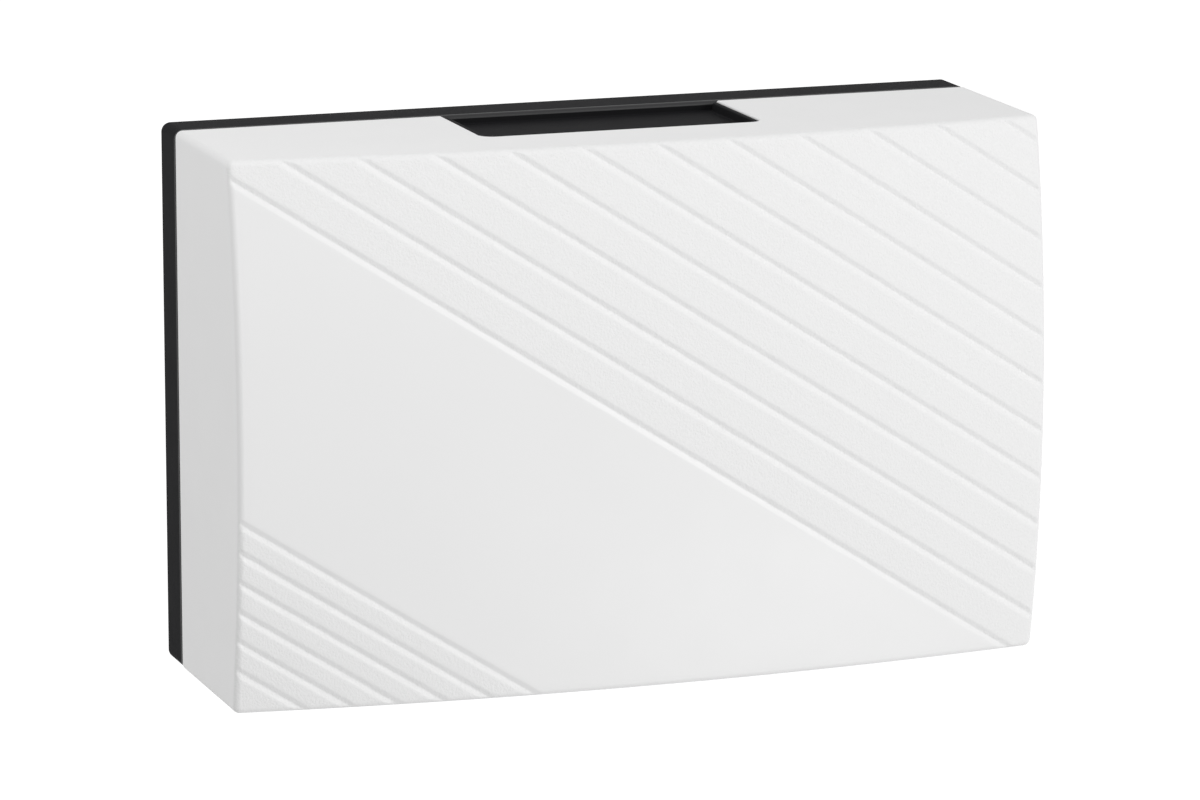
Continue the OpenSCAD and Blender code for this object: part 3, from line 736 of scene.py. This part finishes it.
def grain_front(cover, sizes):
    """Gives the grooved parts of the front the second, grained finish."""
    square = groove_square(sizes)
    front_facing = -0.3
    for face in cover.data.polygons:
        place = face.center.dot(square)
        grooved = place > sizes.upper_first or place < sizes.lower_first
        face.material_index = int(grooved and face.normal.y < front_facing)


class CHIME_OT_cover(bpy.types.Operator):
    """Model the white cover: a bowed shell with two notches and two groups of slanting grooves"""

    bl_idname = "chime.cover"
    bl_label = "Front cover"

    def execute(self, context):
        sizes = context.scene.chime_cover
        colours = context.scene.chime_colours
        cover = cover_solid(sizes, 0.0, COVER_HIGH.y, sizes.corner)
        round_front(cover, sizes)
        cut_grooves(cover, sizes)
        cut(cover, cover_solid(sizes, sizes.wall, COVER_HIGH.y + MM, sizes.inner_corner))
        cut(cover, notch_tool(sizes))
        round_rim(cover, sizes)
        clear_slivers(cover)
        coat(
            cover,
            smooth_plastic("cover_smooth", colours.white, roughness=0.42),
            grained_plastic("cover_grained", colours.grained_white, roughness=0.6),
        )
        grain_front(cover, sizes)
        finish_piece(cover, "cover_shell", "front_cover", smooth=50)
        return {"FINISHED"}


# The base

def inner_settings(context):
    """The sizes of the base and of the pieces on it, and the colours."""
    return context.scene.chime_inside, context.scene.chime_colours


class CHIME_OT_base(bpy.types.Operator):
    """Model the black base with its rim, lip, tongue, posts and trays"""

    bl_idname = "chime.base"
    bl_label = "Rear base"

    def execute(self, context):
        sizes, colours = inner_settings(context)
        base = cad_copy("rear_base")
        coat(
            base,
            grained_plastic(
                "base_black", colours.black, roughness=0.7, grain=0.3 * MM, depth=0.02 * MM,
                Specular_IOR_Level=0.03,
            ),
            smooth_plastic("base_polished_edge", colours.black, roughness=0.42, Specular_IOR_Level=0.4),
            smooth_plastic("base_plain_side", colours.black, roughness=0.5, Specular_IOR_Level=0.2),
        )
        self.round_outline(base, sizes.outline_edge, context.scene.chime_cover.wall)
        round_edges(base, sizes.moulded_edge, segments=3)
        self.plain_side(base, sizes.lip_inset)
        finish_piece(base, "base_moulding", "rear_base")
        return {"FINISHED"}

    def plain_side(self, base, inset):
        """Gives the back and the inside, which the mould's plain half makes, the third finish."""
        limit_x = COVER_HIGH.x - inset
        limit_z = COVER_HIGH.z - inset
        for face in base.data.polygons:
            place = face.center
            if face.normal.y > FACING or (abs(place.x) < limit_x and abs(place.z) < limit_z):
                face.material_index = 2

    def round_outline(self, base, radius, cover_wall):
        """Rounds the rim's outer edge beside the cover, and gives it the second, polished finish."""
        front = COVER_HIGH.y
        # A little less than the wall, so that edges under the cover stay as they are
        margin = 0.9 * cover_wall
        limit_x = COVER_HIGH.x - margin
        limit_z = COVER_HIGH.z - margin

        def front_edge(edge):
            ends = edge_ends(base.data, edge)
            level = all(abs(p.y - front) < LEVEL for p in ends)
            return level and all(abs(p.x) > limit_x or abs(p.z) > limit_z for p in ends)

        bevel_edges(base, front_edge, radius, segments=4, material=1)


# The solenoid

# A turn of the coil: shares of its pitch along it, and in from its crown
TURN_SECTION = ((0.04, 0.45), (0.25, 0.1), (0.5, 0), (0.75, 0.1), (0.96, 0.45))


class CHIME_OT_solenoid(bpy.types.Operator):
    """Model the coil, its bobbin and tape, and the yoke that holds them"""

    bl_idname = "chime.solenoid"
    bl_label = "Solenoid"

    def execute(self, context):
        sizes, colours = inner_settings(context)
        zinc = brushed_metal("zinc_sheet", colours.zinc, roughness=0.38, along="x")
        dress_node("solenoid_yoke", "yoke_bracket", zinc, sizes.sheet_edge)
        screws = plated_metal("zinc_screws", colours.zinc, roughness=0.3)
        dress_node("yoke_screws", "yoke_fixings", screws, sizes.thin_edge)
        nylon = smooth_plastic("natural_nylon", colours.nylon, roughness=0.45)
        dress_node("coil_bobbin", "bobbin_moulding", nylon, sizes.moulded_edge, segments=3)
        self.wind_coil(sizes, colours)
        self.wrap_tape(sizes, colours)
        return {"FINISHED"}

    def wind_coil(self, sizes, colours):
        """Models the winding with the round of each turn in its outer layer."""
        low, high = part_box("coil_winding")
        outer = (high.z - low.z) / 2
        half = (high.x - low.x) / 2
        turns = int(2 * half / sizes.copper_wire)
        pitch = 2 * half / turns
        inner = sizes.winding_bore / 2
        section = [(inner, half), (inner, -half)]
        for i in range(turns):
            section += [(outer - drop * pitch, (i + along) * pitch - half) for along, drop in TURN_SECTION]
        coil = add_turned(section, sides=72)
        lay_across(coil, "coil_winding")
        coat(coil, wound_copper("enamelled_copper", colours.copper))
        finish_piece(coil, "copper_turns", "coil_winding", smooth=75)

    def wrap_tape(self, sizes, colours):
        """Winds the tape so that each wrap laps over the one before, with a hair's breadth between them."""
        low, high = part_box("coil_tape")
        outer = (high.z - low.z) / 2
        half = (high.x - low.x) / 2 - sizes.tape_margin
        width = sizes.tape_width
        advance = sizes.tape_advance
        layer = sizes.tape_thickness / (1 + width / advance)
        fall = layer * width / advance
        filled = 0.9  # the rest of a layer's room is the gap between wraps
        thickness = filled * layer
        sides = 96
        first = -half - 2 * width
        last = first + width
        tape = add_section([
            (outer, first),
            (outer - fall, last),
            (outer - fall - thickness, last),
            (outer - thickness, first),
        ])
        wraps = math.ceil((half - first) / advance) + 1
        apply_modifier(
            tape, "SCREW", axis="Z", angle=math.tau, screw_offset=advance, iterations=wraps,
            steps=sides, render_steps=sides,
        )
        for end in (-half, half):
            self.cut_end(tape, end)
        pick_all(tape)
        bpy.ops.mesh.normals_make_consistent(inside=False)
        leave(tape)
        lay_across(tape, "coil_tape")
        start = (low + high) / 2 + Vector((first, 0, 0))
        coat(tape, wrapped_tape("yellow_tape", colours.tape, start, advance))
        finish_piece(tape, "tape_wrap", "coil_tape")

    def cut_end(self, tape, height):
        """Cuts the tape off square to the coil and closes the cut."""
        pick_all(tape)
        bisect((0, 0, height), (0, 0, height), clear_outer=True)
        leave(tape)

        def at_cut(edge):
            return all(abs(p.z - height) < LEVEL for p in edge_ends(tape.data, edge))

        pick(tape, "EDGE", at_cut)
        bpy.ops.mesh.edge_face_add()
        leave(tape)


# The plunger

class CHIME_OT_plunger(bpy.types.Operator):
    """Model the plunger's core, its two strikers and the return spring"""

    bl_idname = "chime.plunger"
    bl_label = "Plunger"

    def execute(self, context):
        sizes, colours = inner_settings(context)
        steel = brushed_metal("ground_steel", colours.ground_steel, roughness=0.3, along="x")
        dress_node("plunger_core", "core_rod", steel, sizes.sheet_edge)
        nylon = smooth_plastic("striker_nylon", colours.striker, roughness=0.4)
        for side in SIDES:
            striker = cad_copy(f"striker_{side}")
            coat(striker, nylon)
            round_edges(striker, sizes.sheet_edge)
            clear_slivers(striker)
            finish_piece(striker, f"striker_tip_{side}", f"striker_{side}")
        self.coil_spring(sizes, colours)
        return {"FINISHED"}

    def coil_spring(self, sizes, colours):
        """Models the return spring, which the collar presses together as the plunger moves."""
        low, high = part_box("return_spring")
        wire = sizes.return_wire
        radius = (high.z - low.z) / 2 - wire / 2
        reach = high.x - low.x - wire
        points = spring_points(
            radius, radius, reach, sizes.return_curls, dead_curls=1, dead_pitch=wire
        )
        points[:, 2] -= reach / 2
        spring = add_wire(points, wire)
        lay_across(spring, "return_spring")
        coat(spring, plated_metal("spring_wire", colours.spring_steel, roughness=0.28))
        finish_piece(spring, "spring_coil", "return_spring")
        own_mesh(spring)


# The tone bars

class CHIME_OT_tone_bars(bpy.types.Operator):
    """Model the two tone bars, their rubber hangers and the pins that carry them"""

    bl_idname = "chime.tone_bars"
    bl_label = "Tone bars"

    def execute(self, context):
        sizes, colours = inner_settings(context)
        nickel = brushed_metal("nickel_bar", colours.nickel, roughness=0.26, along="z")
        rubber = grained_plastic(
            "hanger_rubber", colours.rubber, roughness=0.8, grain=0.25 * MM, depth=0.015 * MM,
            Specular_IOR_Level=0.3,
        )
        for side in SIDES:
            dress_node(f"tone_bar_{side}", f"tone_plate_{side}", nickel, sizes.bar_edge, segments=3)
            for rank in RANKS:
                grommet = f"grommet_{side}_{rank}"
                dress_node(grommet, f"hanger_{side}_{rank}", rubber, sizes.rubber_edge, segments=3)
        pins = plated_metal("pin_steel", colours.zinc, roughness=0.3)
        dress_node("hanger_pins", "hanger_studs", pins, sizes.sheet_edge)
        return {"FINISHED"}


# The cells and their contacts

def cell_outline(radius, height, cap, cap_height):
    """A cell's section in millimetres: radius, height and the finish of the stretch that ends there."""
    top = height - cap_height
    jacket, band, seal, steel = range(4)
    return (
        # Flat end and the seal round it
        (0, 0, steel),
        (radius - 3.6, 0, steel),
        (radius - 3.2, 0.5, steel),
        (radius - 1.9, 0.5, seal),
        # Jacket, rolled in at both ends, with its two bands
        (radius - 1.6, 0.2, jacket),
        (radius - 0.8, 0.1, jacket),
        (radius - 0.25, 0.4, jacket),
        (radius, 1, jacket),
        (radius, 0.70 * height, jacket),
        (radius, 0.72 * height, band),
        (radius, 0.735 * height, jacket),
        (radius, 0.80 * height, band),
        (radius, top - 1.2, jacket),
        (radius - 0.25, top - 0.5, jacket),
        (radius - 0.9, top - 0.1, jacket),
        (radius - 1.7, top - 0.2, jacket),
        (radius - 2, top - 0.9, jacket),
        # Upper seal and the cap
        (radius - 4.2, top - 0.9, seal),
        (radius - 4.5, top - 0.5, steel),
        (cap + 1.4, top - 0.25, steel),
        (cap + 0.5, top, steel),
        (cap, top + 0.4, steel),
        (cap, height - 0.5, steel),
        (cap - 0.15, height - 0.15, steel),
        (cap - 0.5, height, steel),
        (0, height, steel),
    )


def stand_up(piece, side, low, high, lift=0.0):
    """Stands a turned piece in its node's box, upside down at the right."""
    piece.location = ((low.x + high.x) / 2, (low.y + high.y) / 2, low.z + lift)
    if side == "right":
        piece.rotation_euler = (math.pi, 0, 0)
        piece.location.z = high.z - lift


class CHIME_OT_cells(bpy.types.Operator):
    """Model the four dry cells, their contact plates and their conical springs"""

    bl_idname = "chime.cells"
    bl_label = "Dry cells"

    def execute(self, context):
        sizes, colours = inner_settings(context)
        finishes = (
            printed_foil("cell_jacket", colours.jacket),
            printed_foil("cell_band", colours.jacket_band),
            smooth_plastic("cell_seal", colours.seal, roughness=0.5),
            plated_metal("cell_steel", colours.nickel, roughness=0.3),
        )
        sheet = brushed_metal("contact_sheet", colours.nickel, roughness=0.34, along="z")
        wire = plated_metal("contact_wire", colours.spring_steel, roughness=0.28)
        for side in SIDES:
            for rank in RANKS:
                self.add_cell(sizes, side, rank, finishes)
                dress_node(f"contact_{side}_{rank}", f"contact_strip_{side}_{rank}", sheet, sizes.thin_edge)
            self.add_spring(sizes, side, wire)
        return {"FINISHED"}

    def add_cell(self, sizes, side, rank, finishes):
        """Models a cell: its steel ends, seals, jacket and bands."""
        node = f"cell_{side}_{rank}"
        low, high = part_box(node)
        lengths = ((high.x - low.x) / 2, high.z - low.z, sizes.cap_width / 2, sizes.cap_height)
        outline = cell_outline(*(value / MM for value in lengths))
        section = np.array([point[:2] for point in outline]) * MM
        cell = add_turned(section)
        coat(cell, *finishes)
        middles = (section[1:] + section[:-1]) / 2
        zones = [point[2] for point in outline[1:]]
        for face in cell.data.polygons:
            place = (math.hypot(face.center.x, face.center.y), face.center.z)
            face.material_index = zones[np.hypot(*(middles - place).T).argmin()]
        stand_up(cell, side, low, high)
        finish_piece(cell, f"dry_cell_{side}_{rank}", node)

    def add_spring(self, sizes, side, finish):
        """Models a conical spring between a contact plate and a cell's flat end."""
        node = f"contact_spring_{side}"
        low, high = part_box(node)
        wire = sizes.contact_wire
        wide = (high.x - low.x) / 2 - wire / 2
        reach = high.z - low.z - wire
        narrow = sizes.contact_narrow / 2
        points = spring_points(
            wide, narrow, reach, sizes.contact_curls, dead_curls=0.5, dead_pitch=wire / 2
        )
        spring = add_wire(points, wire)
        coat(spring, finish)
        stand_up(spring, side, low, high, wire / 2)
        finish_piece(spring, f"contact_coil_{side}", node)


# The terminals

class CHIME_OT_terminals(bpy.types.Operator):
    """Model the terminal block with its clamp plates and screws"""

    bl_idname = "chime.terminals"
    bl_label = "Terminals"

    def execute(self, context):
        sizes, colours = inner_settings(context)
        phenolic = speckled_plastic("black_phenolic", colours.phenolic, roughness=0.38)
        plates = brushed_metal("brass_plate", colours.brass, roughness=0.3, along="z")
        brass_screws = plated_metal("brass_screws", colours.brass, roughness=0.26)
        steel_screws = plated_metal("block_steel", colours.zinc, roughness=0.3)
        dress_node("terminal_block", "terminal_moulding", phenolic, sizes.moulded_edge)
        dress_node("terminal_clamps", "clamp_plates", plates, sizes.thin_edge)
        dress_node("terminal_screws", "clamp_screws", brass_screws, sizes.thin_edge)
        dress_node("block_screws", "block_fixings", steel_screws, sizes.thin_edge)
        return {"FINISHED"}


# The leads

LEADS = ("coil_lead_left", "coil_lead_right", "battery_lead_left", "battery_lead_right", "series_lead")


class CHIME_OT_leads(bpy.types.Operator):
    """Model the insulated leads between the cells, the coil and the terminals"""

    bl_idname = "chime.leads"
    bl_label = "Leads"

    def execute(self, context):
        sizes, colours = inner_settings(context)
        finishes = {
            "lead_black": insulation("black_insulation", colours.black_lead),
            "lead_red": insulation("red_insulation", colours.red_lead),
        }
        merge = math.radians(70)
        for node in LEADS:
            lead = cad_copy(node, flat=0)
            coat(lead, finishes[SLOTS[node]])
            pick_all(lead)
            bpy.ops.mesh.tris_convert_to_quads(face_threshold=merge, shape_threshold=merge)
            leave(lead)
            apply_modifier(lead, "SUBSURF", levels=2, render_levels=2)
            pick_all(lead)
            bpy.ops.transform.shrink_fatten(value=sizes.lead_swell)
            leave(lead)
            finish_piece(lead, f"hookup_{node}", node, smooth=60)
        return {"FINISHED"}


# The stage

# Soft lamps: angles to the right of the front and above it in degrees, distance and side in metres
LAMPS = {
    "key": (40, 16, 1.9, 1.0),
    "low": (28, -28, 1.6, 0.45),
    "top": (-69, 52, 0.69, 0.4),
}


def direction(azimuth, elevation):
    """The direction towards a place to the right of the front and above it."""
    flat = math.cos(elevation)
    return Vector((math.sin(azimuth) * flat, -math.cos(azimuth) * flat, math.sin(elevation)))


def seen_rays(nodes, links):
    """Is one for rays that show the background to the camera, straight, mirrored or through glass."""
    path = nodes.new("ShaderNodeLightPath")
    seen = path.outputs["Is Camera Ray"]
    for name in ("Is Glossy Ray", "Is Transmission Ray"):
        either = nodes.new("ShaderNodeMath")
        either.operation = "MAXIMUM"
        links.new(seen, either.inputs[0])
        links.new(path.outputs[name], either.inputs[1])
        seen = either.outputs[0]
    return seen


class CHIME_OT_stage(bpy.types.Operator):
    """Set up the pale floor, the white surroundings, the soft lamps and the camera"""

    bl_idname = "chime.stage"
    bl_label = "Stage"

    def execute(self, context):
        stage = context.scene.chime_stage
        self.add_floor(stage, context.scene.chime_colours)
        self.light_world(context.scene, stage)
        self.add_lamps(stage)
        self.add_camera(context.scene, stage)
        context.scene.view_settings.view_transform = "Standard"
        return {"FINISHED"}

    def add_floor(self, stage, colours):
        """Adds the floor, which the camera sees whiter than it lights the chime."""
        bpy.ops.mesh.primitive_plane_add(size=stage.floor_size, location=(0, 0, -stage.floor_drop))
        floor = bpy.context.active_object
        floor.name = "floor"
        settle(floor)
        material = bpy.data.materials.new("floor_pale")
        material.use_nodes = True
        nodes, links = material.node_tree.nodes, material.node_tree.links
        nodes.remove(nodes["Principled BSDF"])
        matt = nodes.new("ShaderNodeBsdfDiffuse")
        matt.inputs["Color"].default_value = (*colours.floor, 1)
        lift = nodes.new("ShaderNodeEmission")
        strength = nodes.new("ShaderNodeMath")
        strength.operation = "MULTIPLY"
        strength.inputs[1].default_value = stage.floor_lift
        links.new(seen_rays(nodes, links), strength.inputs[0])
        links.new(strength.outputs[0], lift.inputs["Strength"])
        both = nodes.new("ShaderNodeAddShader")
        links.new(matt.outputs[0], both.inputs[0])
        links.new(lift.outputs[0], both.inputs[1])
        links.new(both.outputs[0], nodes["Material Output"].inputs["Surface"])
        floor.data.materials.append(material)

    def light_world(self, scene, stage):
        """Lights the chime evenly from surroundings that look white."""
        world = bpy.data.worlds.new("white_surroundings")
        scene.world = world
        world.use_nodes = True
        nodes, links = world.node_tree.nodes, world.node_tree.links
        background = nodes["Background"]
        background.inputs["Color"].default_value = (1, 1, 1, 1)
        level = nodes.new("ShaderNodeMapRange")
        links.new(seen_rays(nodes, links), level.inputs["Value"])
        level.inputs["To Min"].default_value = stage.sky
        level.inputs["To Max"].default_value = 1.0
        links.new(level.outputs[0], background.inputs["Strength"])

    def add_lamps(self, stage):
        """Adds the soft lamps, which shine at the point that the camera looks at."""
        for name, (azimuth, elevation, distance, side) in LAMPS.items():
            back = direction(math.radians(azimuth), math.radians(elevation))
            bpy.ops.object.light_add(type="AREA", location=Vector(stage.aim) + back * distance)
            lamp = bpy.context.active_object
            lamp.name = f"{name}_lamp"
            lamp.data.energy = getattr(stage, f"{name}_power")
            lamp.data.size = side
            lamp.visible_camera = False
            lamp.rotation_euler = (-back).to_track_quat("-Z", "Y").to_euler()

    def add_camera(self, scene, stage):
        """Adds the camera at the photograph's angle."""
        back = direction(stage.azimuth, stage.elevation)
        bpy.ops.object.camera_add(location=Vector(stage.aim) + back * stage.distance)
        camera = bpy.context.active_object
        camera.name = "camera"
        camera.rotation_euler = (-back).to_track_quat("-Z", "Y").to_euler()
        camera.data.lens = stage.focal_length
        camera.data.clip_start = 0.05
        camera.data.clip_end = 100
        scene.camera = camera


# Panel and registration

GROUPS = {
    "chime_cover": ChimeCover,
    "chime_inside": ChimeInside,
    "chime_colours": ChimeColours,
    "chime_stage": ChimeStage,
}
OPERATORS = (
    CHIME_OT_cover,
    CHIME_OT_base,
    CHIME_OT_solenoid,
    CHIME_OT_plunger,
    CHIME_OT_tone_bars,
    CHIME_OT_cells,
    CHIME_OT_terminals,
    CHIME_OT_leads,
    CHIME_OT_stage,
)


class CHIME_PT_panel(bpy.types.Panel):
    """List the chime's operators and properties"""

    bl_idname = "CHIME_PT_panel"
    bl_label = "Door chime"
    bl_space_type = "VIEW_3D"
    bl_region_type = "UI"
    bl_category = "Chime"

    def draw(self, context):
        for operator in OPERATORS:
            self.layout.operator(operator.bl_idname)
        for name, group in GROUPS.items():
            box = self.layout.box()
            for field in group.__annotations__:
                box.prop(getattr(context.scene, name), field)


CLASSES = (*GROUPS.values(), *OPERATORS, CHIME_PT_panel)


def register():
    """Makes the classes known and hangs the properties on the scene."""
    for kind in CLASSES:
        bpy.utils.register_class(kind)
    for name, group in GROUPS.items():
        setattr(bpy.types.Scene, name, PointerProperty(type=group))


def unregister():
    """Undoes what register does."""
    for name in GROUPS:
        delattr(bpy.types.Scene, name)
    for kind in reversed(CLASSES):
        bpy.utils.unregister_class(kind)


def main():
    """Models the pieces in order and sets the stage."""
    register()
    bpy.ops.chime.cover()
    bpy.ops.chime.base()
    bpy.ops.chime.solenoid()
    bpy.ops.chime.plunger()
    bpy.ops.chime.tone_bars()
    bpy.ops.chime.cells()
    bpy.ops.chime.terminals()
    bpy.ops.chime.leads()
    bpy.ops.chime.stage()


if __name__ == "__main__":
    main()
